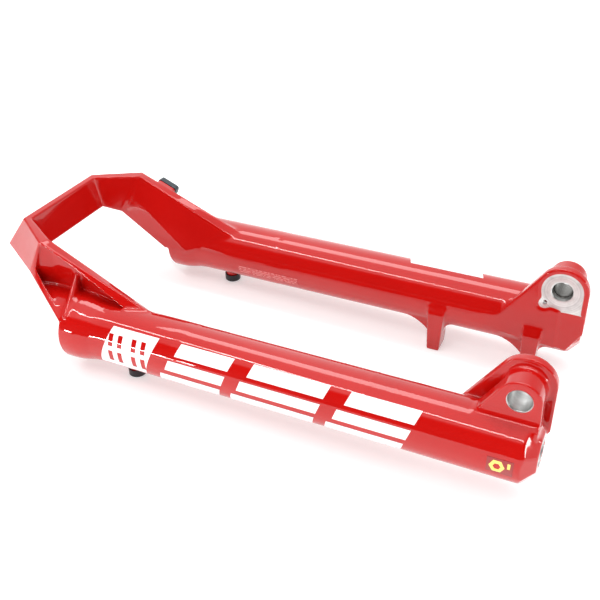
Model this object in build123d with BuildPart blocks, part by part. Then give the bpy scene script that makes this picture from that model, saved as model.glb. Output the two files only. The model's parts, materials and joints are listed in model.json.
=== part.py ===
"""Lower-leg assembly of a single-crown suspension fork: one magnesium casting and what it carries.

The fork lies on its back. X runs along the legs towards the wheel axle end, Y from the drive side
leg to the brake side leg, and Z points out of the front of the fork. The origin is the middle of
the wheel axle. All lengths are in millimetres.
"""

import os
from math import acos, atan2, cos, hypot, radians, sin

from build123d import *

os.makedirs("parts", exist_ok=True)

# ---------------------------------------------------------------- driving dimensions
HUB_WIDTH = 110.0          # between the two dropout faces that clamp the hub
AXLE_R = 7.5               # 15 mm through axle
THREAD_R = 6.7             # minor radius of the axle thread, brake side
STANCHION_R = 19.0         # 38 mm upper tubes slide in the bushings
LEG_PITCH = 151.8          # between the two leg axes
AXLE_OFFSET = 37.4         # the wheel axle lies this far in front of the leg axes
LEG_R = 22.65              # outside radius of a leg
COLLAR_R = 26.0            # outside radius of the seal collar at the top of a leg
LEG_TOP = -337.0           # open end of a leg
LEG_END = 17.5             # closed end of a leg

LEG_Y = LEG_PITCH / 2
LEG_Z = -AXLE_OFFSET
HUB_Y = HUB_WIDTH / 2
SIDES = {"drive": -1, "brake": 1}

# bores of a leg, from its open end inwards
BUSH_ID_R = STANCHION_R + 0.05
BUSH_WALL = 1.0
BUSH_SEAT_R = BUSH_ID_R + BUSH_WALL
RELIEF_R = BUSH_SEAT_R + 0.35
WIPER_SEAT_R = 23.0
WIPER_SEAT_DEPTH = 11.0
FOAM_R = 22.4
FOAM_DEPTH = 7.0
UPPER_BUSH = (-317.0, -293.0)
LOWER_BUSH = (-181.0, -157.0)
CAVITY_R = 17.5
CAVITY_END = -8.0
FOOT_BOLT_R = 4.2
FOOT_POCKET_R = 9.5
FOOT_POCKET_DEPTH = 6.0

# dropouts
RIM_R = 18.95
RIM_Y = HUB_Y - 1.0        # the rim stands 1 mm proud of the hub face
PLATE_OUT_Y = 60.5
BOSS_R = 13.7
BOSS_Y = 78.9
BORE_CHAMFER = 0.8
WEB_Y = 66.0
HUB_CAP_R = 16.6
CAP_EDGE_Z = -16.8

# post mounts for the brake caliper
POST_PITCH = 74.2
POST_X = (-91.2, -91.2 + POST_PITCH)
POST_IN_Y = 50.5           # wheel side of a post
POST_OUT_Y = 67.5
POST_Y = (POST_IN_Y + POST_OUT_Y) / 2
POST_FACE_Z = -75.7
POST_TAP_R = 2.5
POST_TAP_DEPTH = 15.0

# air relief valves, under each leg between its two bushings
VALVE_X = -287.4
BOSS_END_Z = -66.0
VALVE_BOSS_R = 5.5
VALVE_R = 3.1
BUTTON_R = 6.8
BUTTON_END_Z = -70.6


def save(builder, name):
    """Label a finished piece and write its STEP file."""
    builder.part.label = name
    export_step(builder.part, f"parts/{name}.step")


def leg_plane(x, side, towards=1):
    """Plane across a leg's axis at x, its normal along +X or -X."""
    return Plane(origin=(x, side * LEG_Y, LEG_Z), x_dir=(0, 1, 0), z_dir=(towards, 0, 0))


def side_plane(y, side):
    """Plane square to Y at |y|, drawn in X and Z, its normal pointing out of the fork."""
    return Plane(origin=(0, side * y, 0), x_dir=(1, 0, 0), z_dir=(0, side, 0))


def drawn(x, z, side):
    """Point (x, z) in a side plane's own axes."""
    return (x, -side * z)


def axial_plane(side):
    """Plane through a leg's axis, drawn as distance along X and radius."""
    return Plane(origin=(0, side * LEG_Y, LEG_Z), x_dir=(1, 0, 0), z_dir=(0, -1, 0))


def wedge_between(start, end):
    """Solid between two sections with as many corners; its sides twist from one to the other."""
    corners = range(len(start))
    sheets = []
    for section in (start, end):
        for i in corners[1:-1]:
            sheets.append(Face(Wire.make_polygon([section[0], section[i], section[i + 1]])))
    for i in corners:
        j = (i + 1) % len(start)
        first, last = Edge.make_line(start[i], start[j]), Edge.make_line(end[i], end[j])
        sheets.append(Face.make_surface_from_curves(first, last))
    return Solid(Shell(sheets))


# ---------------------------------------------------------------- arch
# Corners of a section: front outer, front inner, middle inner, rear inner, rear outer, outer rim.
crown_corner = [
    (-403.7, 44.1, 24.5),
    (-398.6, 40.9, 23.8),
    (-396.2, 40.95, 10.35),
    (-393.8, 41.0, -3.1),
    (-414.0, 44.5, -5.0),
    (-424.0, 46.0, -2.0),
]
shoulder = [
    (-368.2, 68.9, 22.8),
    (-365.4, 61.05, 22.5),
    (-373.6, 55.5, 6.3),
    (-381.9, 50.0, -9.9),
    (-378.0, 68.5, -15.0),
    (-381.0, 72.0, -4.0),
]
arm_foot = [
    (-272.5, 68.3, -16.0),
    (-277.6, 62.3, -19.3),
    (-318.0, 49.9, -37.0),
    (-340.0, 49.9, -37.4),
    (-332.0, 92.0, -46.0),
    (-334.0, 99.5, -22.5),
]
WEB_FACE_Y = 65.0
LIP = 2.5
CLEAR_R = 23.9             # room round an upper tube above its collar
POCKET_FLOOR_R = 25.2      # the arm's pocket bottoms out on a shell round the upper tube
RIM_INSET = 3.5            # how far inside the arm's outer rim its pocket starts
POCKET_TOP_X = -361.0      # upper end of the pocket's back wall
POCKET_LIP_X = -368.8      # where the pocket's upper end meets the front lip
POCKET_STEP_Z = -12.0      # the pocket's upper end stands upright behind this height
PAST_RIM_Y = 110.0         # clear of the arm's outer side
THROUGH = 60.0             # length of a cut that runs out of the part
RIB_TOP = (-341.0, 62.0, 0.2)
RIB_END = (-332.0, 95.0, -20.8)
RIB_HALF = 2.6
RIB_DEPTH = 30.0           # down from the rib's top, inside the pocket's floor


def mirrored(points, side):
    return [(x, side * y, z) for x, y, z in points]


def arm_pocket(side):
    """Space cut out of an arm: outside its web, under its front lip and above its floor."""
    rim_start, rim_end = shoulder[-1], arm_foot[-1]
    lip_start, lip_end = shoulder[1], arm_foot[1]
    with BuildPart() as pocket:
        with BuildSketch(Plane.XY.offset(LEG_Z)):
            with BuildLine():
                Polyline(
                    (POCKET_TOP_X, side * WEB_FACE_Y),
                    (rim_start[0] + RIM_INSET, side * (rim_start[1] - RIM_INSET / 2)),
                    (rim_end[0] - RIM_INSET, side * (rim_end[1] - 2 * RIM_INSET)),
                    (rim_end[0], side * PAST_RIM_Y),
                    (lip_end[0], side * PAST_RIM_Y),
                    (lip_end[0], side * WEB_FACE_Y),
                    close=True,
                )
            make_face()
        extrude(amount=-2 * LEG_Z)
        with BuildSketch(side_plane(WEB_FACE_Y - 1, side)):
            with BuildLine():
                Polyline(
                    drawn(rim_start[0] + RIM_INSET, LEG_Z, side),
                    drawn(rim_start[0] + RIM_INSET, POCKET_STEP_Z, side),
                    drawn(POCKET_LIP_X, lip_start[2] - LIP, side),
                    drawn(lip_start[0], lip_start[2] - LIP, side),
                    drawn(lip_end[0], lip_end[2] - LIP, side),
                    drawn(lip_end[0], LEG_Z, side),
                    close=True,
                )
            make_face()
        extrude(amount=THROUGH, mode=Mode.INTERSECT)
        with BuildSketch(leg_plane(rim_end[0], side, towards=-1)):
            Circle(POCKET_FLOOR_R)
        extrude(amount=THROUGH, mode=Mode.SUBTRACT)
    return pocket.part


def arm_rib(side):
    """Round-topped gusset from the top of an arm's web down to the outside of the seal collar."""
    top, end = Vector(*mirrored([RIB_TOP], side)[0]), Vector(*mirrored([RIB_END], side)[0])
    along = end - top
    wall = Plane(origin=top, x_dir=(along.X, along.Y, 0), z_dir=(along.Y, -along.X, 0))
    corners = [wall.to_local_coords(point) for point in (top, end)]
    with BuildPart() as rib:
        with BuildSketch(Plane(origin=top, z_dir=along)):
            Circle(RIB_HALF)
        extrude(amount=along.length)
        with BuildSketch(wall):
            with BuildLine():
                Polyline(
                    (corners[0].X, corners[0].Y),
                    (corners[1].X, corners[1].Y),
                    (corners[1].X, -RIB_DEPTH),
                    (corners[0].X, -RIB_DEPTH),
                    close=True,
                )
            make_face()
        extrude(amount=RIB_HALF, both=True)
    return rib.part


with BuildPart() as arch:
    add(wedge_between(mirrored(crown_corner, -1), crown_corner))
    for s in SIDES.values():
        add(wedge_between(mirrored(crown_corner, s), mirrored(shoulder, s)))
        add(wedge_between(mirrored(shoulder, s), mirrored(arm_foot, s)))
        add(arm_pocket(s), mode=Mode.SUBTRACT)
        add(arm_rib(s))
        with BuildSketch(leg_plane(LEG_TOP + 2.0, s, towards=-1)):
            Circle(CLEAR_R)
        extrude(amount=THROUGH, mode=Mode.SUBTRACT)


# ---------------------------------------------------------------- legs
NECK = (-331.0, -304.0)
NECK_EASE = 12.0
COLLAR_CHAMFER = 0.8
FACET_X = 8.5
END_FLAT_R = 13.0
EIGHT_SIDES = {"side_count": 8, "major_radius": False, "rotation": 22.5}


def end_surround(side):
    """Space round the eight-sided taper at the closed end of a leg."""
    with BuildPart() as surround:
        with BuildSketch(leg_plane(FACET_X, side)):
            Rectangle(3 * LEG_R, 3 * LEG_R)
        extrude(amount=LEG_END - FACET_X + 1)
        with BuildSketch(leg_plane(FACET_X, side)):
            RegularPolygon(LEG_R, **EIGHT_SIDES)
        with BuildSketch(leg_plane(LEG_END, side)):
            RegularPolygon(END_FLAT_R, **EIGHT_SIDES)
        loft(mode=Mode.SUBTRACT)
    return surround.part


def leg_blank(side):
    """Outside of one leg: tube, seal collar and an eight-sided taper at the closed end."""
    with BuildPart() as blank:
        with BuildSketch(axial_plane(side)):
            with BuildLine():
                Polyline(
                    (LEG_END, 0),
                    (LEG_TOP, 0),
                    (LEG_TOP, COLLAR_R - COLLAR_CHAMFER),
                    (LEG_TOP + COLLAR_CHAMFER, COLLAR_R),
                    (NECK[0], COLLAR_R),
                )
                Bezier(
                    (NECK[0], COLLAR_R),
                    (NECK[0] + NECK_EASE, COLLAR_R),
                    (NECK[1] - NECK_EASE, LEG_R),
                    (NECK[1], LEG_R),
                )
                Polyline((NECK[1], LEG_R), (LEG_END, LEG_R), (LEG_END, 0))
            make_face()
        revolve(axis=Axis((0, side * LEG_Y, LEG_Z), (1, 0, 0)))
        add(end_surround(side), mode=Mode.SUBTRACT)
    return blank.part


def leg_bores(side):
    """Everything hollow inside one leg, from the wiper seat down to the foot bolt."""
    steps = [
        (LEG_TOP - 1, WIPER_SEAT_DEPTH + 1, WIPER_SEAT_R),
        (LEG_TOP, WIPER_SEAT_DEPTH + FOAM_DEPTH, FOAM_R),
        (LEG_TOP, UPPER_BUSH[1] - LEG_TOP, BUSH_SEAT_R),
        (UPPER_BUSH[1] - 1, LOWER_BUSH[0] - UPPER_BUSH[1] + 1, RELIEF_R),
        (UPPER_BUSH[1], LOWER_BUSH[1] - UPPER_BUSH[1], BUSH_SEAT_R),
        (LOWER_BUSH[1] - 1, CAVITY_END - LOWER_BUSH[1] + 1, CAVITY_R),
        (CAVITY_END - 1, LEG_END - CAVITY_END + 2, FOOT_BOLT_R),
        (LEG_END - FOOT_POCKET_DEPTH, FOOT_POCKET_DEPTH + 1, FOOT_POCKET_R),
    ]
    with BuildPart() as bores:
        for start, length, radius in steps:
            with BuildSketch(leg_plane(start, side)):
                Circle(radius)
            extrude(amount=length)
    return bores.part


# ---------------------------------------------------------------- dropouts
def tangent_point(corner, radius, turn):
    """Where the line from a corner touches a circle round the axle; turn picks the side."""
    angle = atan2(corner[1], corner[0]) + turn * acos(radius / hypot(*corner))
    return radius * cos(angle), radius * sin(angle)


def eye_sketch(side, y, radius, corners):
    """Outline in a side plane: an arc over the axle and straight sides down to some corners."""
    first = tangent_point(corners[0], radius, 1)
    last = tangent_point(corners[-1], radius, -1)
    with BuildSketch(side_plane(y, side)) as outline:
        with BuildLine():
            ThreePointArc(drawn(*last, side), drawn(0, radius, side), drawn(*first, side))
            Polyline(*[drawn(*point, side) for point in [first, *corners, last]])
        make_face()
    return outline.sketch


PLATE_CORNERS = [(18.96, -33), (9, -50), (-40, -46), (-47, -34.5)]
WEB_CORNERS = [(14.4, -18), (14.4, -30), (-29.0, -30), (-29.0, -19)]
SKIRT_TOP_Z = -8.5         # the boss's face starts to curve out onto the leg here
SKIRT_FOOT = (84.4, -16.5)


def web_skirt(side):
    """Hollow sweep from the face of an axle boss out onto the top of its leg."""
    with BuildPart() as skirt:
        with BuildSketch(Plane.YZ.offset(-30)):
            with BuildLine():
                Polyline(
                    (side * SKIRT_FOOT[0], SKIRT_FOOT[1]),
                    (side * SKIRT_FOOT[0], -30),
                    (side * WEB_Y, -30),
                    (side * WEB_Y, SKIRT_TOP_Z),
                    (side * BOSS_Y, SKIRT_TOP_Z),
                )
                Bezier(
                    (side * BOSS_Y, SKIRT_TOP_Z),
                    (side * BOSS_Y, SKIRT_FOOT[1] + 3),
                    (side * (BOSS_Y + 1.5), SKIRT_FOOT[1] + 1),
                    (side * SKIRT_FOOT[0], SKIRT_FOOT[1]),
                )
            make_face()
        extrude(amount=60)
        extrude(eye_sketch(side, WEB_Y, BOSS_R, WEB_CORNERS), amount=30, mode=Mode.INTERSECT)
    return skirt.part


def dropout(side):
    """Hub plate with its proud rim, the axle boss and the web that carries the boss."""
    with BuildPart() as body:
        extrude(eye_sketch(side, RIM_Y, RIM_R, PLATE_CORNERS), amount=PLATE_OUT_Y - RIM_Y)
        extrude(eye_sketch(side, WEB_Y, BOSS_R, WEB_CORNERS), amount=BOSS_Y - WEB_Y)
        add(web_skirt(side))
        with BuildSketch(side_plane(RIM_Y, side)):
            Circle(BOSS_R)
        extrude(amount=BOSS_Y - RIM_Y)
    return body.part


def hub_relief(side):
    """Cut in the hub plate: the seat of the hub's end cap and the channel that leads to it."""
    with BuildPart() as relief:
        with BuildSketch(side_plane(HUB_Y, side)):
            Circle(HUB_CAP_R)
            with Locations(drawn(-11.8, -12.6, side)):
                Circle(5.6)
            with BuildLine():
                Polyline(
                    drawn(0.6, 0, side),
                    drawn(HUB_CAP_R, 0, side),
                    drawn(HUB_CAP_R, CAP_EDGE_Z, side),
                    drawn(22, CAP_EDGE_Z - 1.5, side),
                    drawn(22, -60, side),
                    drawn(0.6, -60, side),
                    close=True,
                )
            make_face()
        extrude(amount=-8)
    return relief.part


def inner_flat(side):
    """Cut that flattens the wheel side of a leg beside the hub plate."""
    with BuildPart() as flat:
        with BuildSketch(Plane.XY.offset(-70)):
            with BuildLine():
                Polyline(
                    (-75, side * 52.9),
                    (-45, side * RIM_Y),
                    (30, side * RIM_Y),
                    (30, side * 35),
                    (-75, side * 35),
                    close=True,
                )
            make_face()
        extrude(amount=100)
    return flat.part


# ---------------------------------------------------------------- post mounts
POST_TOP = ((POST_IN_Y - 1, -42.5), (POST_IN_Y, -42.5), (POST_IN_Y + 3, -34.5))
SWEEP_Y = (59.0, 67.5)     # the web that braces a post stands back from its wheel side


def post(centre):
    """One caliper post: a tapered column whose upper end slopes back into the leg."""
    with BuildPart() as column:
        with BuildSketch(side_plane(POST_IN_Y, 1)):
            with BuildLine():
                Polyline(
                    drawn(centre - 6.6, -34.5, 1),
                    drawn(centre + 8.4, -34.5, 1),
                    drawn(centre + 6.4, -46.0, 1),
                    drawn(centre + 4.9, POST_FACE_Z, 1),
                    drawn(centre - 5.2, POST_FACE_Z, 1),
                    close=True,
                )
            make_face()
        extrude(amount=POST_OUT_Y - POST_IN_Y)
        with BuildSketch(Plane.YZ.offset(centre - 20)):
            with BuildLine():
                Polyline(*POST_TOP, (POST_IN_Y - 1, -34.5), close=True)
            make_face()
        extrude(amount=40, mode=Mode.SUBTRACT)
    return column.part


def post_sweep(centre):
    """Thin web that braces a post along the leg: long and hollow above it, short below it."""
    with BuildPart() as web:
        with BuildSketch(side_plane(SWEEP_Y[0], 1)):
            with BuildLine():
                ThreePointArc(
                    drawn(centre - 31, -53.2, 1), drawn(centre - 16.8, -56.8, 1), drawn(centre - 5.8, -66.5, 1)
                )
                Line(drawn(centre - 5.8, -66.5, 1), drawn(centre + 5.4, -63.0, 1))
                ThreePointArc(
                    drawn(centre + 5.4, -63.0, 1), drawn(centre + 7.4, -56.2, 1), drawn(centre + 13.0, -53.2, 1)
                )
                Polyline(
                    drawn(centre + 13.0, -53.2, 1),
                    drawn(centre + 13.0, -40, 1),
                    drawn(centre - 31, -40, 1),
                    drawn(centre - 31, -53.2, 1),
                )
            make_face()
        extrude(amount=SWEEP_Y[1] - SWEEP_Y[0])
    return web.part


# ---------------------------------------------------------------- hose guide seat
EDGE_FALL = 23.1           # degrees by which an arm's front edge falls towards the axle
GUIDE_LENGTH = 18.3
GUIDE_WIDTH = 12.0
GUIDE_HEIGHT = 6.2
GUIDE_CORNER_R = 2.5
GUIDE_Y = 73.5
GUIDE_SCREW_V = -2.9
GUIDE_HOSE_V = 3.0
GUIDE_X = -348.3
GUIDE_Z = 7.8
HOSE_R = 2.65
SCREW_R = 1.6
SCREW_HEAD_R = 2.7
SCREW_HEAD_HEIGHT = 2.2
SCREW_SEAT = 3.0           # depth of the screw head's seat below the guide's face
SCREW_DEPTH = 8.5          # how far the screw reaches into the casting
SCREW_KEY_R = 1.25
SCREW_KEY_DEPTH = 1.6

fall = radians(EDGE_FALL)
guide_plane = Plane(
    origin=(GUIDE_X, GUIDE_Y, GUIDE_Z), x_dir=(cos(fall), 0, -sin(fall)), z_dir=(0, 1, 0)
)

# ---------------------------------------------------------------- casting
with BuildPart() as casting:
    add(arch.part)
    for s in SIDES.values():
        add(leg_blank(s))
        add(dropout(s))
    for x in POST_X:
        add(post_sweep(x))
    with BuildSketch(guide_plane):
        RectangleRounded(GUIDE_LENGTH - 0.4, GUIDE_WIDTH - 0.4, GUIDE_CORNER_R)
    extrude(amount=WEB_FACE_Y - GUIDE_Y - 2)
    for s in SIDES.values():
        with BuildSketch(Plane(origin=(VALVE_X, s * LEG_Y, BOSS_END_Z))):
            Circle(VALVE_BOSS_R)
        extrude(amount=LEG_Z - BOSS_END_Z)
    for s in SIDES.values():
        add(leg_bores(s), mode=Mode.SUBTRACT)
        add(inner_flat(s), mode=Mode.SUBTRACT)
        add(hub_relief(s), mode=Mode.SUBTRACT)
        with BuildSketch(Plane(origin=(VALVE_X, s * LEG_Y, BOSS_END_Z - 1))):
            Circle(VALVE_R)
        extrude(amount=BUSH_SEAT_R, mode=Mode.SUBTRACT)
        with BuildSketch(side_plane(HUB_Y - 2, s)):
            with Locations(drawn(-11.0, -11.2, s)):
                Circle(1.3)
        extrude(amount=8, mode=Mode.SUBTRACT)
    for s, bore in ((-1, AXLE_R), (1, THREAD_R)):
        with BuildSketch(side_plane(HUB_Y - 2, s)):
            Circle(bore)
        extrude(amount=40, mode=Mode.SUBTRACT)
    with BuildSketch(side_plane(HUB_Y - 2, 1)):
        Circle(AXLE_R)
    extrude(amount=7, mode=Mode.SUBTRACT)
    boss_edges = casting.edges().filter_by(GeomType.CIRCLE)
    boss_edges = boss_edges.filter_by_position(Axis.Y, -BOSS_Y - 0.01, -BOSS_Y + 0.01)
    chamfer(boss_edges.sort_by(SortBy.RADIUS)[0], BORE_CHAMFER)
    for x in POST_X:
        add(post(x))
    for x in POST_X:
        with BuildSketch(Plane(origin=(x, POST_Y, POST_FACE_Z))):
            Circle(POST_TAP_R)
        extrude(amount=POST_TAP_DEPTH, mode=Mode.SUBTRACT)
    with BuildSketch(guide_plane):
        with Locations((0, GUIDE_SCREW_V)):
            Circle(SCREW_R)
    extrude(amount=-SCREW_DEPTH - 0.5, mode=Mode.SUBTRACT)

save(casting, "lower_leg_casting")

# ---------------------------------------------------------------- seals and bushings
def ring(side, start, length, inner, outer):
    """Plain ring round a leg's axis."""
    with BuildPart() as body:
        with BuildSketch(leg_plane(start, side)):
            Circle(outer)
            Circle(inner, mode=Mode.SUBTRACT)
        extrude(amount=length)
    return body


LIP_R = STANCHION_R + 0.3
WIPER_PROFILE = [
    (11.0, WIPER_SEAT_R),
    (0.0, WIPER_SEAT_R),
    (0.0, 23.6),
    (-1.0, 23.6),
    (-1.0, 22.9),
    (1.5, 22.7),
    (1.5, 21.3),
    (-1.6, 21.0),
    (-2.6, 20.3),
    (-2.6, LIP_R),
    (3.0, 20.7),
    (6.0, 20.7),
    (8.0, LIP_R),
    (9.6, LIP_R),
    (11.0, 21.4),
]
GARTER_R = 21.8
GARTER_WIRE_R = 0.5

for name, s in SIDES.items():
    leg_axis = Axis((0, s * LEG_Y, LEG_Z), (1, 0, 0))
    with BuildPart() as wiper:
        with BuildSketch(axial_plane(s)):
            with BuildLine():
                Polyline(*[(LEG_TOP + x, r) for x, r in WIPER_PROFILE], close=True)
            make_face()
        revolve(axis=leg_axis)
    save(wiper, f"dust_wiper_{name}")

    with BuildPart() as garter:
        with BuildSketch(axial_plane(s)):
            with Locations((LEG_TOP + 0.1, GARTER_R)):
                Circle(GARTER_WIRE_R)
        revolve(axis=leg_axis)
    save(garter, f"garter_spring_{name}")

    foam_start = LEG_TOP + WIPER_SEAT_DEPTH + 0.1
    save(ring(s, foam_start, FOAM_DEPTH - 0.2, LIP_R + 0.2, FOAM_R - 0.1), f"foam_ring_{name}")
    for place, (start, end) in (("upper", UPPER_BUSH), ("lower", LOWER_BUSH)):
        save(ring(s, start, end - start, BUSH_ID_R, BUSH_SEAT_R), f"{place}_bushing_{name}")

# ---------------------------------------------------------------- air relief valves
BODY_TOP_Z = -57.7
STEM_R = 0.9
BODY_BORE_R = 1.15
HEAD_R = 2.1
HEAD_BORE_R = 2.5
HEAD_Z = (-59.4, -58.2)
SEAL_Z = (-60.4, -59.4)
CAP_INNER_R = VALVE_BOSS_R + 0.3
CAP_FLOOR_Z = BUTTON_END_Z + 1.6
CAP_SKIRT_Z = -64.2
SPRING_COIL_R = 1.75
SPRING_WIRE_R = 0.25


def upright(x, y, z):
    """Level plane whose normal points up."""
    return Plane(origin=(x, y, z))


for name, s in SIDES.items():
    y = s * LEG_Y
    with BuildPart() as valve_body:
        with BuildSketch(upright(VALVE_X, y, BOSS_END_Z)):
            Circle(VALVE_R)
            Circle(BODY_BORE_R, mode=Mode.SUBTRACT)
        extrude(amount=BODY_TOP_Z - BOSS_END_Z)
        with BuildSketch(upright(VALVE_X, y, SEAL_Z[0])):
            Circle(HEAD_BORE_R)
        extrude(amount=BODY_TOP_Z - SEAL_Z[0], mode=Mode.SUBTRACT)
    save(valve_body, f"relief_valve_body_{name}")

    with BuildPart() as stem:
        with BuildSketch(upright(VALVE_X, y, CAP_FLOOR_Z)):
            Circle(STEM_R)
        extrude(amount=HEAD_Z[1] - CAP_FLOOR_Z)
        with BuildSketch(upright(VALVE_X, y, HEAD_Z[0])):
            Circle(HEAD_R)
        extrude(amount=HEAD_Z[1] - HEAD_Z[0])
    save(stem, f"relief_valve_stem_{name}")

    seal_r = (SEAL_Z[1] - SEAL_Z[0]) / 2
    with BuildPart() as seal:
        with BuildSketch(Plane(origin=(VALVE_X, y, 0), x_dir=(1, 0, 0), z_dir=(0, -1, 0))):
            with Locations((STEM_R + seal_r + 0.02, SEAL_Z[0] + seal_r)):
                Circle(seal_r - 0.02)
        revolve(axis=Axis((VALVE_X, y, 0), (0, 0, 1)))
    save(seal, f"relief_valve_o_ring_{name}")

    with BuildPart() as button:
        with BuildSketch(upright(VALVE_X, y, BUTTON_END_Z)):
            Circle(BUTTON_R)
        extrude(amount=CAP_SKIRT_Z - BUTTON_END_Z)
        chamfer(button.faces().sort_by(Axis.Z)[0].edges(), 0.9)
        with BuildSketch(upright(VALVE_X, y, CAP_FLOOR_Z)):
            Circle(CAP_INNER_R)
        extrude(amount=CAP_SKIRT_Z - CAP_FLOOR_Z + 1, mode=Mode.SUBTRACT)
    save(button, f"relief_valve_button_{name}")

    spring_low = CAP_FLOOR_Z + SPRING_WIRE_R
    spring_high = BOSS_END_Z - SPRING_WIRE_R
    turns = 3.0
    with BuildPart() as spring:
        with BuildLine():
            coil = Helix(
                pitch=(spring_high - spring_low) / turns,
                height=spring_high - spring_low,
                radius=SPRING_COIL_R,
                center=(VALVE_X, y, spring_low),
            )
        with BuildSketch(Plane(origin=coil @ 0, z_dir=coil % 0)):
            Circle(SPRING_WIRE_R)
        sweep()
    save(spring, f"relief_valve_spring_{name}")

# ---------------------------------------------------------------- hose guide
with BuildPart() as hose_guide:
    with BuildSketch(guide_plane):
        RectangleRounded(GUIDE_LENGTH, GUIDE_WIDTH, GUIDE_CORNER_R)
    extrude(amount=GUIDE_HEIGHT)
    fillet(hose_guide.faces().sort_by(Axis.Y)[-1].edges(), 1.2)
    with BuildSketch(guide_plane.offset(GUIDE_HEIGHT - HOSE_R + 0.4)):
        with Locations((0, GUIDE_HOSE_V)):
            Rectangle(GUIDE_LENGTH + 2, 1.6 * HOSE_R)
    extrude(amount=HOSE_R + 1, mode=Mode.SUBTRACT)
    with BuildSketch(
        Plane(
            origin=guide_plane.from_local_coords((-GUIDE_LENGTH / 2 - 1, GUIDE_HOSE_V, GUIDE_HEIGHT - HOSE_R)),
            z_dir=guide_plane.x_dir,
        )
    ):
        Circle(HOSE_R)
    extrude(amount=GUIDE_LENGTH + 2, mode=Mode.SUBTRACT)
    with Locations(guide_plane.offset(GUIDE_HEIGHT)):
        with Locations((0, GUIDE_SCREW_V)):
            CounterBoreHole(SCREW_R + 0.1, SCREW_HEAD_R + 0.15, SCREW_SEAT)
save(hose_guide, "hose_guide")

with BuildPart() as guide_screw:
    seat = GUIDE_HEIGHT - SCREW_SEAT
    with BuildSketch(guide_plane.offset(seat)):
        with Locations((0, GUIDE_SCREW_V)):
            Circle(SCREW_HEAD_R)
    extrude(amount=SCREW_HEAD_HEIGHT)
    with BuildSketch(guide_plane.offset(seat)):
        with Locations((0, GUIDE_SCREW_V)):
            Circle(SCREW_R)
    extrude(amount=-seat - SCREW_DEPTH)
    with BuildSketch(guide_plane.offset(seat + SCREW_HEAD_HEIGHT)):
        with Locations((0, GUIDE_SCREW_V)):
            RegularPolygon(SCREW_KEY_R, 6)
    extrude(amount=-SCREW_KEY_DEPTH, mode=Mode.SUBTRACT)
save(guide_screw, "hose_guide_screw")

# ---------------------------------------------------------------- decals
FILM = 0.25                # thickness of a decal, thicker than real vinyl so that it meshes well
GRAPHIC_ANGLE = 80.0       # where the decals sit, from the front of the leg towards its outside
SLANT = 0.36               # how far a slanted end leans along X for each millimetre of height


def facing_plane(side, angle):
    """Plane through a leg's axis that faces out at an angle from the front; its Y points forward."""
    turn = radians(angle)
    normal = (0, side * sin(turn), cos(turn))
    return Plane(origin=(0, side * LEG_Y, LEG_Z), x_dir=(-side, 0, 0), z_dir=normal)


def slanted_bar(start, end, low, high):
    """Corners of a bar between two X positions, with both ends leaning the same way."""
    return [
        (start + SLANT * low, low),
        (end + SLANT * low, low),
        (end + SLANT * high, high),
        (start + SLANT * high, high),
    ]


def film_on_leg(side, angle, outlines, cuts=()):
    """Thin film on a leg's outside, from outlines drawn in X and height as the leg is faced."""
    xs = [x for outline in outlines for x, _ in outline]
    with BuildPart() as film:
        with BuildSketch(leg_plane(min(xs) - 1, side)):
            Circle(LEG_R + FILM)
            Circle(LEG_R, mode=Mode.SUBTRACT)
        extrude(amount=max(xs) - min(xs) + 2)
        with BuildSketch(facing_plane(side, angle)):
            for group, mode in ((outlines, Mode.ADD), (cuts, Mode.SUBTRACT)):
                for outline in group:
                    with BuildLine():
                        Polyline(*[(-side * x, v) for x, v in outline], close=True)
                    make_face(mode=mode)
        extrude(amount=2 * LEG_R, mode=Mode.INTERSECT)
    return film


STRIPE_ROWS = ((-16.5, -9.0), (-4.8, 3.2), (7.4, 15.8))
BLOCKS = ((-246.0, -197.0), (-188.0, -125.0), (-116.0, -62.0))
stripes = [
    slanted_bar(start + 3.0 * row, end, low, high)
    for start, end in BLOCKS
    for row, (low, high) in enumerate(STRIPE_ROWS)
]
EMBLEM = (-297.5, -258.0)
EMBLEM_HALF = 15.5
emblem_outline = slanted_bar(*EMBLEM, -EMBLEM_HALF, EMBLEM_HALF)
emblem_cuts = [
    [(x, v_low), (x + 4.0, v_low), (x + 4.0, v_high), (x, v_high)]
    for x in (-293.5, -285.5, -273.5, -265.5)
    for v_low, v_high in ((-11.0, -1.8), (1.8, 11.0))
]

for name, s in SIDES.items():
    save(film_on_leg(s, GRAPHIC_ANGLE, stripes), f"leg_stripes_{name}")
    save(film_on_leg(s, GRAPHIC_ANGLE, [emblem_outline], emblem_cuts), f"emblem_{name}")
save(film_on_leg(1, 12.0, [slanted_bar(-123.0, -64.0, -4.5, 5.5)]), "front_stripe_brake")
BADGE_X, BADGE_R = -5.0, 5.0
hexagon = [
    (BADGE_X + BADGE_R * cos(radians(60 * k)), BADGE_R * sin(radians(60 * k))) for k in range(6)
]
hexagon_core = [(BADGE_X + 0.5 * (x - BADGE_X), 0.5 * v) for x, v in hexagon]
badge_bar = [(1.4, 0.2), (3.2, 0.2), (3.2, 4.2), (1.4, 4.2)]
badge_back = [(-11.5, -5.8), (5.0, -5.8), (5.0, 5.8), (-11.5, 5.8)]
save(film_on_leg(-1, 91.0, [hexagon, badge_bar], [hexagon_core]), "size_badge")
save(film_on_leg(-1, 91.0, [badge_back], [hexagon, badge_bar]), "badge_film")
save(film_on_leg(1, -106.0, [[(-268, -4), (-212, -4), (-212, 4), (-268, 4)]]), "service_label")
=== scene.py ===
"""Looks for the lower-leg assembly of a suspension fork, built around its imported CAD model.

Everything is in metres in the CAD frame: X along the legs towards the wheel axle, Y from the drive
side to the brake side, Z out of the front of the fork, and the origin in the middle of the axle.
"""

import json
import math

import bmesh
import bpy
import numpy as np
from mathutils import Matrix, Vector


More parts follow.
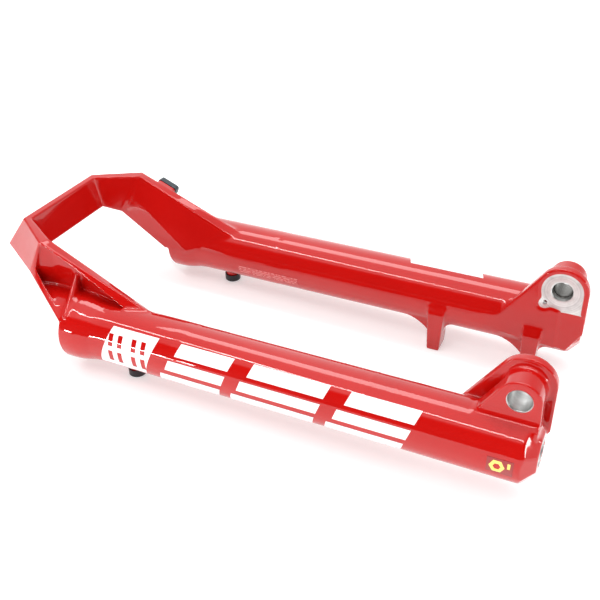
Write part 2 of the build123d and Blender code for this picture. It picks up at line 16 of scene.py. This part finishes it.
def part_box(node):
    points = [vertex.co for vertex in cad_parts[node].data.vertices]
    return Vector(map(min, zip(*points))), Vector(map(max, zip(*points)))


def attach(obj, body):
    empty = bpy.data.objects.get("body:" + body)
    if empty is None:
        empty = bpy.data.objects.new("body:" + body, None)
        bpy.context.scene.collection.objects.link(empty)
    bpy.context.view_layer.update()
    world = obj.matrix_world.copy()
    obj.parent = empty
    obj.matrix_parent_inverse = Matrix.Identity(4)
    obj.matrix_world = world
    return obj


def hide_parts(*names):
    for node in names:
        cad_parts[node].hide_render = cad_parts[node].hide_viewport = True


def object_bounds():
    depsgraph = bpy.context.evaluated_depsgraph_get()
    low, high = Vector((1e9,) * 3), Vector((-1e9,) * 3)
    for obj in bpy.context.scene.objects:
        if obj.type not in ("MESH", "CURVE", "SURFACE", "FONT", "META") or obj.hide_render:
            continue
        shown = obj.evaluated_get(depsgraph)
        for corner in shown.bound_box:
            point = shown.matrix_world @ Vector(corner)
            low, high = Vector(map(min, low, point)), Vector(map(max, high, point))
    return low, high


MM = 0.001
ROOT = "lower_legs"

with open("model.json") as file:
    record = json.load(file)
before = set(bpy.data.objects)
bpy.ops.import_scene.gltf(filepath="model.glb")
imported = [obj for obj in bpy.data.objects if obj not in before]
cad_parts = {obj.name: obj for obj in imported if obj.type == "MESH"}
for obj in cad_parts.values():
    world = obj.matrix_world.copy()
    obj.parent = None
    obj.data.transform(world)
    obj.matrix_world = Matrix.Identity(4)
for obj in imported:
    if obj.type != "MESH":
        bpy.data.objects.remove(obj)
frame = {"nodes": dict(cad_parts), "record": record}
nodes = frame["nodes"]
mounts = {m["name"]: m for m in frame["record"]["mounts"]}
cad_low, cad_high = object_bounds()

# Places and sizes that the looks need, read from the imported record.
AXLE_R = mounts["hub_axle"]["dims"]["r_mm"] * MM
HUB_Y = abs(mounts["hub_face_brake"]["pos_m"][1])
LEG_Y = abs(mounts["upper_tube_brake"]["pos_m"][1])
LEG_Z = mounts["upper_tube_brake"]["pos_m"][2]


# ---------------------------------------------------------------- camera
CAMERA_AZIMUTH = 25.80      # degrees round the object, from the drive side towards the axle end
CAMERA_ELEVATION = 33.05
CAMERA_ROLL = -1.17
CAMERA_PLACE = (0.05454, -0.49316, 0.33450)
SENSOR = 36.0
LENS = 51.24


def make_camera():
    """The camera, at the photograph's viewing angle."""
    azimuth, elevation, roll = map(math.radians, (CAMERA_AZIMUTH, CAMERA_ELEVATION, CAMERA_ROLL))
    back = Vector(
        (
            math.sin(azimuth) * math.cos(elevation),
            -math.cos(azimuth) * math.cos(elevation),
            math.sin(elevation),
        )
    )
    level = Vector((math.cos(azimuth), math.sin(azimuth), 0.0))
    upright = back.cross(level)
    right = math.cos(roll) * level + math.sin(roll) * upright
    up = -math.sin(roll) * level + math.cos(roll) * upright
    data = bpy.data.cameras.new("camera")
    data.lens = LENS
    data.sensor_width = SENSOR
    data.clip_start, data.clip_end = 0.01, 50.0
    camera = bpy.data.objects.new("camera", data)
    bpy.context.scene.collection.objects.link(camera)
    turned = Matrix((right, up, back)).transposed().to_4x4()
    camera.matrix_world = Matrix.Translation(CAMERA_PLACE) @ turned
    bpy.context.scene.camera = camera


make_camera()


# ---------------------------------------------------------------- material graphs
class Graph:
    """A material and a short way to write its nodes: each method adds one and returns its output."""

    def __init__(self, name):
        self.material = bpy.data.materials.new(name)
        self.material.use_nodes = True
        self.tree = self.material.node_tree
        self.tree.nodes.clear()
        self.place = self.add("TexCoord").outputs["Object"]

    def feed(self, socket, value):
        """Link an output to a socket, or set a number or colour on it."""
        if isinstance(value, bpy.types.NodeSocket):
            self.tree.links.new(value, socket)
        else:
            socket.default_value = value

    def add(self, kind, inputs=None, **settings):
        node = self.tree.nodes.new("ShaderNode" + kind)
        for name, value in settings.items():
            setattr(node, name, value)
        for name, value in (inputs or {}).items():
            self.feed(node.inputs[name], value)
        return node

    def math(self, operation, a, b=0.0, c=0.0):
        return self.add("Math", {0: a, 1: b, 2: c}, operation=operation).outputs[0]

    def parts(self):
        """X, Y and Z of the place on the surface."""
        return self.add("SeparateXYZ", {0: self.place}).outputs

    def join(self, x, y, z):
        return self.add("CombineXYZ", {0: x, 1: y, 2: z}).outputs[0]

    def length(self, a, b):
        """Distance from the origin of a point in a plane."""
        squares = [self.math("MULTIPLY", side, side) for side in (a, b)]
        return self.math("SQRT", self.math("ADD", *squares))

    def noise(self, size, detail=2.0, roughness=0.5, vector=None):
        """Noise whose features are about size metres across."""
        inputs = {
            "Vector": vector or self.place,
            "Scale": 1.0 / size,
            "Detail": detail,
            "Roughness": roughness,
        }
        return self.add("TexNoise", inputs).outputs["Fac"]

    def cells(self, size, output="Distance"):
        """Cells about size metres across."""
        inputs = {"Vector": self.place, "Scale": 1.0 / size}
        return self.add("TexVoronoi", inputs).outputs[output]

    def span(self, value, low, high, to_low=0.0, to_high=1.0):
        """value moved from one range to another, and kept inside it."""
        inputs = {
            "Value": value,
            "From Min": low,
            "From Max": high,
            "To Min": to_low,
            "To Max": to_high,
        }
        return self.add("MapRange", inputs, clamp=True).outputs[0]

    def under(self, value, limit, edge=0.05 * MM):
        """1 where value is under limit, 0 where it is over, with a narrow soft edge."""
        return self.span(value, limit - edge, limit + edge, 1.0, 0.0)

    def over(self, value, limit, edge=0.05 * MM):
        """1 where value is over limit, 0 where it is under, with a narrow soft edge."""
        return self.span(value, limit - edge, limit + edge)

    def both(self, *masks):
        """Where all the masks are."""
        result = masks[0]
        for mask in masks[1:]:
            result = self.math("MULTIPLY", result, mask)
        return result

    def either(self, *masks):
        """Where any of the masks is."""
        result = masks[0]
        for mask in masks[1:]:
            result = self.math("MAXIMUM", result, mask)
        return result

    def blended(self, kind, sockets, values):
        """Output of a Mix node of one kind, whose sockets go by number: factor, a, b and result."""
        node = self.add("Mix", data_type=kind)
        for socket, value in zip(sockets, values):
            self.feed(node.inputs[socket], value)
        return node.outputs[sockets[3]]

    def mix(self, factor, a, b):
        """Blend of two colours."""
        return self.blended("RGBA", (0, 6, 7, 2), (factor, a, b))

    def blend(self, factor, a, b):
        """Blend of two numbers."""
        return self.blended("FLOAT", (0, 2, 3, 0), (factor, a, b))

    def sway(self, factor, a, b):
        """Blend of two vectors."""
        return self.blended("VECTOR", (0, 4, 5, 1), (factor, a, b))

    def bump(self, height, distance, strength=1.0):
        """Normal of a surface raised by height times distance."""
        inputs = {"Height": height, "Distance": distance, "Strength": strength}
        return self.add("Bump", inputs).outputs[0]

    def finish(self, **sockets):
        """The one Principled shader, with its sockets named by words joined with underscores."""
        shader = self.add("BsdfPrincipled")
        for name, value in sockets.items():
            self.feed(shader.inputs[name.replace("_", " ")], value)
        self.add("OutputMaterial", {"Surface": shader.outputs[0]})
        return self.material


def rgba(red, green, blue):
    return (red, green, blue, 1.0)


# ---------------------------------------------------------------- materials
CAP_R = 16.65 * MM          # machined seat of a hub's end cap
LOBE_PLACE = (-11.8 * MM, -12.6 * MM)
LOBE_R = 5.65 * MM
CAP_EDGE_Z = -16.9 * MM
CAP_CORNER_X = (0.6 * MM, 17.5 * MM)
BOSS_Y = 78.9 * MM          # outer face of an axle boss
BORE_MOUTH_R = 8.35 * MM    # chamfered mouth of the plain axle bore
SEAL_SEAT = (23.2 * MM, -337.2 * MM)    # radius, and the X of its inner end, as in the next two
LEG_BORE = (21.2 * MM, -5 * MM)
FOOT_POCKET = (9.7 * MM, 8 * MM)
THREAD_PITCH = 1.5 * MM
THREAD_R = 7.1 * MM
THREAD_START_Y = HUB_Y + 4 * MM


def bare_metal_mask(graph):
    """1 on the machined faces of the casting: both hub seats, the axle bores, leg bores and taps."""
    x, y, z = graph.parts()
    out = graph.math("ABSOLUTE", y)
    from_axle = graph.length(x, z)
    from_lobe = graph.length(
        graph.math("SUBTRACT", x, LOBE_PLACE[0]), graph.math("SUBTRACT", z, LOBE_PLACE[1])
    )
    corner = graph.both(
        graph.over(x, CAP_CORNER_X[0]),
        graph.under(x, CAP_CORNER_X[1]),
        graph.over(z, CAP_EDGE_Z),
        graph.under(z, 0.0),
    )
    seat = graph.both(
        graph.either(graph.under(from_axle, CAP_R), graph.under(from_lobe, LOBE_R), corner),
        graph.over(out, HUB_Y - 0.35 * MM),
        graph.under(out, HUB_Y + 2 * MM),
    )
    bore = graph.both(graph.under(from_axle, AXLE_R + 0.25 * MM), graph.over(out, HUB_Y - 2 * MM))
    mouth = graph.both(graph.under(from_axle, BORE_MOUTH_R), graph.over(out, BOSS_Y - 1.2 * MM))
    from_leg = graph.length(graph.math("SUBTRACT", out, LEG_Y), graph.math("SUBTRACT", z, LEG_Z))
    inside = graph.both(graph.under(from_leg, SEAL_SEAT[0]), graph.under(x, SEAL_SEAT[1]))
    leg_bore = graph.both(graph.under(from_leg, LEG_BORE[0]), graph.under(x, LEG_BORE[1]))
    foot = graph.both(graph.under(from_leg, FOOT_POCKET[0]), graph.over(x, FOOT_POCKET[1]))
    return graph.either(seat, bore, mouth, inside, leg_bore, foot), from_axle


def painted_casting():
    """Deep red paint under a thick clear coat, with bare machined metal where the casting is cut."""
    g = Graph("red_paint_on_magnesium")
    bare, from_axle = bare_metal_mask(g)
    flake = g.cells(0.22 * MM, "Color")
    sparkle = g.add("SeparateColor", {0: flake}).outputs[0]
    drift = g.noise(30 * MM, 3.0)
    red = g.mix(g.span(drift, 0.3, 0.7), rgba(0.43, 0.0025, 0.0013), rgba(0.40, 0.0021, 0.0011))
    red = g.mix(g.span(sparkle, 0.72, 1.0, 0.0, 0.22), red, rgba(0.56, 0.009, 0.005))
    x, y, z = g.parts()
    round_axle = g.join(from_axle, g.math("MULTIPLY", y, 0.05), 0.0)
    cut = g.noise(0.6 * MM, 4.0, 0.7, round_axle)
    smear = g.noise(7 * MM, 4.0, 0.6)
    metal = g.mix(g.span(cut, 0.3, 0.7), rgba(0.52, 0.52, 0.51), rgba(0.80, 0.80, 0.79))
    metal = g.mix(g.span(smear, 0.45, 0.75, 0.0, 0.5), metal, rgba(0.38, 0.38, 0.37))
    # Painted shade: the threaded part of the axle bore is darkened, and each thread groove is painted
    # near black, standing in for the shade inside grooves that the mesh does not have.
    turn = g.math("DIVIDE", g.math("ARCTAN2", z, x), 2 * math.pi)
    thread = g.math("FRACT", g.math("ADD", g.math("DIVIDE", y, THREAD_PITCH), turn))
    threaded = g.both(g.under(from_axle, THREAD_R), g.over(y, THREAD_START_Y))
    from_crest = g.math("ABSOLUTE", g.math("SUBTRACT", thread, 0.5))
    groove_shade = g.both(threaded, g.under(from_crest, 0.26, 0.14))
    metal = g.mix(g.math("MULTIPLY", threaded, 0.55), metal, rgba(0.20, 0.19, 0.17))
    metal = g.mix(g.math("MULTIPLY", groove_shade, 0.8), metal, rgba(0.04, 0.04, 0.035))
    peel = g.noise(2.6 * MM, 2.0, 0.4)
    paint_normal = g.bump(peel, 0.012 * MM, 0.35)
    turned = g.bump(cut, 0.02 * MM, 0.5)
    facing = g.sway(bare, paint_normal, turned)
    paint_rough = g.span(g.noise(9 * MM, 3.0), 0.3, 0.7, 0.36, 0.42)
    metal_rough = g.span(smear, 0.3, 0.7, 0.30, 0.42)
    return g.finish(
        Base_Color=g.mix(bare, red, metal),
        Metallic=bare,
        Roughness=g.blend(bare, paint_rough, metal_rough),
        Specular_IOR_Level=0.05,
        Coat_Weight=g.math("SUBTRACT", 1.0, bare),
        Coat_Roughness=0.03,
        Coat_IOR=1.5,
        Normal=facing,
        Coat_Normal=facing,
    )


def moulded(name, colour, pale, roughness, grain, depth):
    """Moulded plastic or rubber with a fine grain and slightly paler rubbed patches."""
    g = Graph(name)
    rub = g.noise(3.5 * MM, 4.0, 0.6)
    fine = g.noise(grain, 3.0, 0.6)
    return g.finish(
        Base_Color=g.mix(g.span(rub, 0.5, 0.8, 0.0, 0.7), colour, pale),
        Roughness=g.span(rub, 0.3, 0.75, roughness, roughness + 0.12),
        Normal=g.bump(fine, depth, 0.6),
    )


def foam_rubber():
    g = Graph("open_foam")
    # Painted shade: the middle of each cell is painted near black, as the shade inside the foam's
    # open pores, and the cell walls between them are paler.
    holes = g.cells(0.5 * MM)
    return g.finish(
        Base_Color=g.mix(g.span(holes, 0.05, 0.5), rgba(0.02, 0.02, 0.02), rgba(0.16, 0.15, 0.14)),
        Roughness=g.span(holes, 0.0, 0.6, 0.95, 0.75),
        Normal=g.bump(holes, 0.2 * MM, 0.8),
    )


def turned_metal(name, dark, pale, roughness):
    """Turned or drawn metal: fine lines, with uneven wear."""
    g = Graph(name)
    line = g.noise(0.25 * MM, 3.0, 0.7)
    wear = g.noise(4 * MM, 4.0, 0.6)
    return g.finish(
        Base_Color=g.mix(g.span(wear, 0.3, 0.7), dark, pale),
        Metallic=1.0,
        Roughness=g.span(wear, 0.3, 0.7, roughness, roughness + 0.12),
        Normal=g.bump(line, 0.01 * MM, 0.4),
    )


def bearing_liner():
    """Dull bronze-coloured bearing liner, speckled with its filler."""
    g = Graph("bearing_liner")
    speck = g.cells(0.4 * MM, "Color")
    level = g.add("SeparateColor", {0: speck}).outputs[0]
    return g.finish(
        Base_Color=g.mix(g.span(level, 0.2, 0.9), rgba(0.20, 0.17, 0.12), rgba(0.36, 0.30, 0.20)),
        Metallic=0.6,
        Roughness=g.span(level, 0.0, 1.0, 0.42, 0.55),
        Normal=g.bump(level, 0.01 * MM, 0.5),
    )


def vinyl(name, colour, shade, roughness=0.22):
    """Printed vinyl film, nearly smooth, under the same clear coat as the paint."""
    g = Graph(name)
    tone = g.noise(12 * MM, 3.0)
    peel = g.noise(2.2 * MM, 2.0)
    return g.finish(
        Base_Color=g.mix(g.span(tone, 0.3, 0.7), colour, shade),
        Roughness=g.span(tone, 0.3, 0.7, roughness, roughness + 0.06),
        Coat_Weight=0.6,
        Coat_Roughness=0.04,
        Normal=g.bump(peel, 0.01 * MM, 0.3),
    )


LABEL_LINE = 1.9 * MM       # from one row of the label to the next


def label_film():
    """Clear label with rows of short pale bars in place of print."""
    g = Graph("label_film")
    x, y, z = g.parts()
    line = g.math("MULTIPLY", z, 1 / LABEL_LINE)
    row = g.math("FRACT", line)
    dash = g.noise(2.4 * MM, 0.0, 0.5, g.join(x, g.math("FLOOR", line), 0.0))
    from_middle = g.math("ABSOLUTE", g.math("SUBTRACT", row, 0.5))
    ink = g.both(g.under(from_middle, 0.16, 0.03), g.over(dash, 0.47, 0.02))
    return g.finish(
        Base_Color=g.mix(ink, rgba(0.46, 0.012, 0.010), rgba(0.60, 0.13, 0.12)),
        Roughness=g.blend(ink, 0.2, 0.4),
        Coat_Weight=0.8,
        Coat_Roughness=0.05,
    )


PLASTIC_GRAIN = (0.25 * MM, 0.03 * MM)      # across, and deep
RUBBER_GRAIN = (0.3 * MM, 0.02 * MM)

paint = painted_casting()
rubber = moulded(
    "black_rubber", rgba(0.012, 0.012, 0.013), rgba(0.03, 0.03, 0.032), 0.42, *RUBBER_GRAIN
)
plastic = moulded(
    "black_plastic", rgba(0.006, 0.007, 0.010), rgba(0.014, 0.016, 0.022), 0.30, *PLASTIC_GRAIN
)
guide_plastic = moulded(
    "grey_plastic", rgba(0.022, 0.030, 0.038), rgba(0.07, 0.09, 0.105), 0.34, *PLASTIC_GRAIN
)
steel = turned_metal("plain_steel", rgba(0.50, 0.50, 0.51), rgba(0.68, 0.68, 0.69), 0.24)
aluminium = turned_metal("turned_aluminium", rgba(0.66, 0.66, 0.67), rgba(0.84, 0.84, 0.85), 0.28)
white_vinyl = vinyl("white_vinyl", rgba(0.86, 0.86, 0.87), rgba(0.80, 0.80, 0.82))
gold_vinyl = vinyl("gold_vinyl", rgba(0.90, 0.72, 0.16), rgba(0.85, 0.62, 0.10), 0.3)

SLOT_MATERIALS = {
    "red_paint": paint,
    "black_rubber": rubber,
    "black_plastic": plastic,
    "steel": steel,
    "aluminium": aluminium,
    "foam": foam_rubber(),
    "bushing_liner": bearing_liner(),
    "white_vinyl": white_vinyl,
    "gold_vinyl": gold_vinyl,
    "label_film": label_film(),
    "tinted_film": vinyl("smoked_film", rgba(0.30, 0.004, 0.003), rgba(0.26, 0.004, 0.003), 0.12),
}


def give(piece, material):
    """One material all over a piece."""
    piece.data.materials.clear()
    piece.data.materials.append(material)


for part in frame["record"]["subparts"]:
    give(nodes[part["node"]], SLOT_MATERIALS[part["material_slot"]])
give(nodes["hose_guide"], guide_plastic)


# ---------------------------------------------------------------- casting's skin
VOXEL = 0.7 * MM
CRISP_STEPS = 4             # smoothing of outward edges, which stay sharp
FILLET_STEPS = 46           # smoothing of inward corners, which a mould rounds
PULL = 0.5                  # how far a smoothing step moves a point towards its neighbours
SNAP = 0.16 * MM            # how far a point may lie off a round face that it belongs to
OUTSIDE_R = (22.4 * MM, 26.2 * MM)      # between which the leg's outside lies all along it
LEG_RADII = (23.0, 22.4, 20.4, 20.05, 17.5, 9.5, 4.2)   # round faces about a leg's axis, in mm
AXLE_RADII = (18.95, 16.6, 13.7, 7.5, 6.7)              # round faces about the axle, in mm
LEG_ROUND_END = 8 * MM      # past this the leg is cut to flats


def read_points(mesh):
    flat = np.empty(len(mesh.vertices) * 3, np.float32)
    mesh.vertices.foreach_get("co", flat)
    return flat.reshape(-1, 3).astype(float)


def read_quads(mesh):
    flat = np.empty(len(mesh.loops), np.int32)
    mesh.loops.foreach_get("vertex_index", flat)
    return flat.reshape(-1, 4)


def point_normals(points, quads):
    """Unit normal at each point, from the diagonals of the quads round it."""
    across = np.cross(
        points[quads[:, 2]] - points[quads[:, 0]], points[quads[:, 3]] - points[quads[:, 1]]
    )
    total = np.zeros_like(points)
    for corner in range(4):
        for axis in range(3):
            total[:, axis] += np.bincount(quads[:, corner], across[:, axis], len(points))
    return total / np.maximum(np.linalg.norm(total, axis=1), 1e-12)[:, None]


def drift_to_neighbours(points, edges, count):
    """Vector from each point to the average of its neighbours."""
    total = np.empty_like(points)
    for axis in range(3):
        total[:, axis] = np.bincount(edges[:, 0], points[edges[:, 1], axis], len(points))
        total[:, axis] += np.bincount(edges[:, 1], points[edges[:, 0], axis], len(points))
    return total / count[:, None] - points


def about_leg(points):
    """Distance from the nearer leg's axis, and the unit vector away from it, in Y and Z."""
    away = np.stack([np.abs(points[:, 1]) - LEG_Y, points[:, 2] - LEG_Z], 1)
    radius = np.linalg.norm(away, axis=1)
    return radius, away / np.maximum(radius, 1e-9)[:, None]


def leg_profile(cad_points):
    """Outside radius of a leg at places along X, from the CAD's own points, which lie on it."""
    radius, away = about_leg(cad_points)
    outside = (radius > OUTSIDE_R[0]) & (radius < OUTSIDE_R[1])
    outside &= (away[:, 1] < -0.2) & (cad_points[:, 0] < LEG_ROUND_END)
    x, r = cad_points[outside, 0], radius[outside]
    places = np.unique(np.round(x, 5))
    return places, np.array([r[np.abs(x - place) < 2e-5].max() for place in places])


def snap_round_faces(points, normals, cad_points):
    """Move points of round faces on to the true round, which the CAD mesh only has at its corners."""
    radius, away = about_leg(points)
    places, radii = leg_profile(cad_points)
    side = np.sign(points[:, 1])
    outward = normals[:, 1] * side * away[:, 0] + normals[:, 2] * away[:, 1]
    true = np.interp(points[:, 0], places, radii)
    targets = [(true, 0.93)] + [(np.full(len(points), r * MM), 0.98) for r in LEG_RADII]
    for target, least in targets:
        on_leg = (np.abs(radius - target) < SNAP) & (np.abs(outward) > least)
        on_leg &= points[:, 0] < LEG_ROUND_END + 0.3 * MM
        points[on_leg, 1] = side[on_leg] * (LEG_Y + away[on_leg, 0] * target[on_leg])
        points[on_leg, 2] = LEG_Z + away[on_leg, 1] * target[on_leg]
    flat = points[:, [0, 2]]
    from_axle = np.linalg.norm(flat, axis=1)
    facing = (normals[:, [0, 2]] * flat).sum(1) / np.maximum(from_axle, 1e-9)
    for r in AXLE_RADII:
        on_boss = (np.abs(from_axle - r * MM) < SNAP) & (np.abs(facing) > 0.97)
        on_boss &= np.abs(points[:, 1]) > HUB_Y - 3 * MM
        scale = (r * MM / from_axle[on_boss])[:, None]
        points[on_boss] *= np.where([True, False, True], scale, 1.0)
    return points


def machined(points):
    """True at points on machined faces, whose edges stay sharp."""
    radius, _ = about_leg(points)
    from_axle = np.hypot(points[:, 0], points[:, 2])
    out = np.abs(points[:, 1])
    x = points[:, 0] / MM
    seats = (radius < 23.1 * MM) & (x > -340) & (x < -326)
    bores = (radius < 22.0 * MM) & (x > -340) & (x < -9)
    foot = (radius < 9.8 * MM) & (x > -9)
    axle = (from_axle < 8.3 * MM) & (out > HUB_Y - 2 * MM)
    return seats | bores | foot | axle


def cast_skin():
    """The casting as one even skin: its inward corners rounded like a mould's, its edges softened."""
    source = nodes["lower_leg_casting"]
    mesh = source.data.copy()
    welded = bmesh.new()
    welded.from_mesh(mesh)
    bmesh.ops.remove_doubles(welded, verts=welded.verts, dist=1e-6)
    welded.to_mesh(mesh)
    welded.free()
    cad_points = read_points(mesh)
    rough = bpy.data.objects.new("rough_skin", mesh)
    bpy.context.scene.collection.objects.link(rough)
    remesh = rough.modifiers.new("even", "REMESH")
    remesh.mode = "VOXEL"
    remesh.voxel_size = VOXEL
    evaluated = rough.evaluated_get(bpy.context.evaluated_depsgraph_get())
    skin = bpy.data.meshes.new_from_object(evaluated)
    bpy.data.objects.remove(rough)

    points, quads = read_points(skin), read_quads(skin)
    edges = np.empty(len(skin.edges) * 2, np.int32)
    skin.edges.foreach_get("vertices", edges)
    edges = edges.reshape(-1, 2)
    count = np.bincount(edges.ravel(), minlength=len(points)).astype(float)
    points = snap_round_faces(points, point_normals(points, quads), cad_points)
    free = ~machined(points)
    for step in range(FILLET_STEPS):
        if step % 6 == 0:
            normals = point_normals(points, quads)
        move = drift_to_neighbours(points, edges, count)
        if step >= CRISP_STEPS:
            inward = (move * normals).sum(1) > 0
            move[~inward] = 0
        points[free] += PULL * move[free]
    skin.vertices.foreach_set("co", points.astype(np.float32).ravel())
    skin.update()
    skin.shade_smooth()
    skin.name = "casting_skin"
    piece = bpy.data.objects.new("painted_casting", skin)
    bpy.context.scene.collection.objects.link(piece)
    give(piece, paint)
    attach(piece, ROOT)
    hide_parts("lower_leg_casting")


cast_skin()


# ---------------------------------------------------------------- floor
def resting_plane():
    """A point on the surface that the fork lies on, and that surface's fall along X.

    It lies on its two relief valve buttons and on the corner of a brake post.
    """
    button_low, button_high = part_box("relief_valve_button_drive")
    points = read_points(nodes["lower_leg_casting"].data)
    foot = points[points[:, 2] < cad_low.z + 0.1 * MM]
    corner = foot[foot[:, 0].argmin()]
    button_x = (button_low.x + button_high.x) / 2
    fall = (corner[2] - button_low.z) / (corner[0] - button_x)
    return Vector((button_x, 0.0, button_low.z)), fall


FLOOR_GLOW = 0.44           # light from below, as from a lit table; it keeps the shadows pale


def make_floor():
    place, fall = resting_plane()
    mesh = bpy.data.meshes.new("floor")
    half = 6.0
    corners = [(-half, -half), (half, -half), (half, half), (-half, half)]
    points = [(x, y, place.z + fall * (x - place.x)) for x, y in corners]
    mesh.from_pydata(points, [], [(0, 1, 2, 3)])
    floor = bpy.data.objects.new("floor", mesh)
    bpy.context.scene.collection.objects.link(floor)
    g = Graph("pale_floor")
    give(
        floor,
        g.finish(
            Base_Color=rgba(0.68, 0.69, 0.69),
            Roughness=0.75,
            Specular_IOR_Level=0.1,
            Emission_Color=rgba(0.98, 1.0, 1.0),
            Emission_Strength=FLOOR_GLOW,
        ),
    )


make_floor()


# ---------------------------------------------------------------- light
DOME = 1.95                 # brightness of the white studio all round
SHADE = 0.03                # brightness of the dark wall behind the camera
SHADE_AZIMUTH = 5.0         # the way to the middle of that wall, from the drive side
SHADE_TOP = (48.0, 57.0)    # degrees above the floor between which the wall fades into the white
SHADE_END = (0.86, 0.95)    # sideways part of a direction at which its ends fade
LEFT_SIDE = 0.22            # how bright the studio is at its arch end
LEFT_SPAN = (-0.9, -0.3)    # sideways parts of a direction between which it grows to full
RIGHT_SIDE = 0.40           # how bright it is at its axle end
RIGHT_SPAN = (-0.3, 0.4)    # between which it falls again


def make_world():
    """White studio with one long dark wall, which the glossy paint shows as its deep red bands."""
    world = bpy.data.worlds.new("studio")
    world.use_nodes = True
    tree = world.node_tree
    tree.nodes.clear()
    azimuth = math.radians(SHADE_AZIMUTH)
    towards = (math.sin(azimuth), -math.cos(azimuth), 0.0)
    along = (math.cos(azimuth), math.sin(azimuth), 0.0)

    def add(kind, *inputs, **settings):
        node = tree.nodes.new("ShaderNode" + kind)
        for name, value in settings.items():
            setattr(node, name, value)
        for socket, value in zip(node.inputs, inputs):
            if isinstance(value, bpy.types.NodeSocket):
                tree.links.new(value, socket)
            elif value is not None:
                socket.default_value = value
        return node

    def brighten(value, low, high):
        node = add("MapRange", value, low, high, 0.0, 1.0, interpolation_type="SMOOTHSTEP")
        return node.outputs[0]

    way = add("TexCoord").outputs["Generated"]
    front = add("VectorMath", way, towards, operation="DOT_PRODUCT").outputs["Value"]
    across = add("VectorMath", way, along, operation="DOT_PRODUCT").outputs["Value"]
    height = add("SeparateXYZ", way).outputs[2]
    climb = add("Math", height, front, operation="ARCTAN2").outputs[0]
    over = brighten(climb, *map(math.radians, SHADE_TOP))
    past = brighten(add("Math", across, operation="ABSOLUTE").outputs[0], *SHADE_END)
    behind = add("Math", front, 0.0, operation="LESS_THAN").outputs[0]
    white = add("Math", over, past, operation="MAXIMUM").outputs[0]
    white = add("Math", white, behind, operation="MAXIMUM").outputs[0]
    left = add("MapRange", across, *LEFT_SPAN, LEFT_SIDE * DOME, DOME).outputs[0]
    brightness = add("MapRange", across, *RIGHT_SPAN, left, RIGHT_SIDE * DOME).outputs[0]
    strength = add("MapRange", white, 0.0, 1.0, SHADE, brightness).outputs[0]
    light = add("Background", None, strength).outputs[0]
    backdrop = add("Background", None, DOME).outputs[0]
    camera_ray = add("LightPath").outputs["Is Camera Ray"]
    choose = add("MixShader", camera_ray, light, backdrop).outputs[0]
    add("OutputWorld", choose)
    bpy.context.scene.world = world


def area_light(name, azimuth, elevation, distance, width, depth, watts):
    """Soft rectangular light, aimed at the middle of the fork; azimuth 0 is on the drive side."""
    azimuth, elevation = math.radians(azimuth), math.radians(elevation)
    way = Vector(
        (
            math.sin(azimuth) * math.cos(elevation),
            -math.cos(azimuth) * math.cos(elevation),
            math.sin(elevation),
        )
    )
    data = bpy.data.lights.new(name, "AREA")
    data.shape = "RECTANGLE"
    data.size, data.size_y = width, depth
    data.energy = watts
    light = bpy.data.objects.new(name, data)
    bpy.context.scene.collection.objects.link(light)
    target = (cad_low + cad_high) / 2
    facing = way.to_track_quat("Z", "Y").to_matrix().to_4x4()
    light.matrix_world = Matrix.Translation(target + way * distance) @ facing
    light.visible_camera = False
    return light


make_world()
area_light("strip", -25, 62, 2.0, 2.2, 0.05, 11)        # white line along the top of each leg
area_light("top_box", 175, 72, 2.0, 2.6, 0.6, 25)
area_light("end_box", 91, 8, 1.6, 0.45, 0.30, 9)        # white facet at a leg's end
area_light("low_strip", -31, 3, 1.8, 0.30, 0.06, 4)     # white line on the near leg's collar
fill = area_light("fill", -8, 20, 2.2, 2.6, 1.0, 36)    # not seen in the paint's reflections
fill.visible_glossy = False
bpy.context.scene.view_settings.view_transform = "Standard"
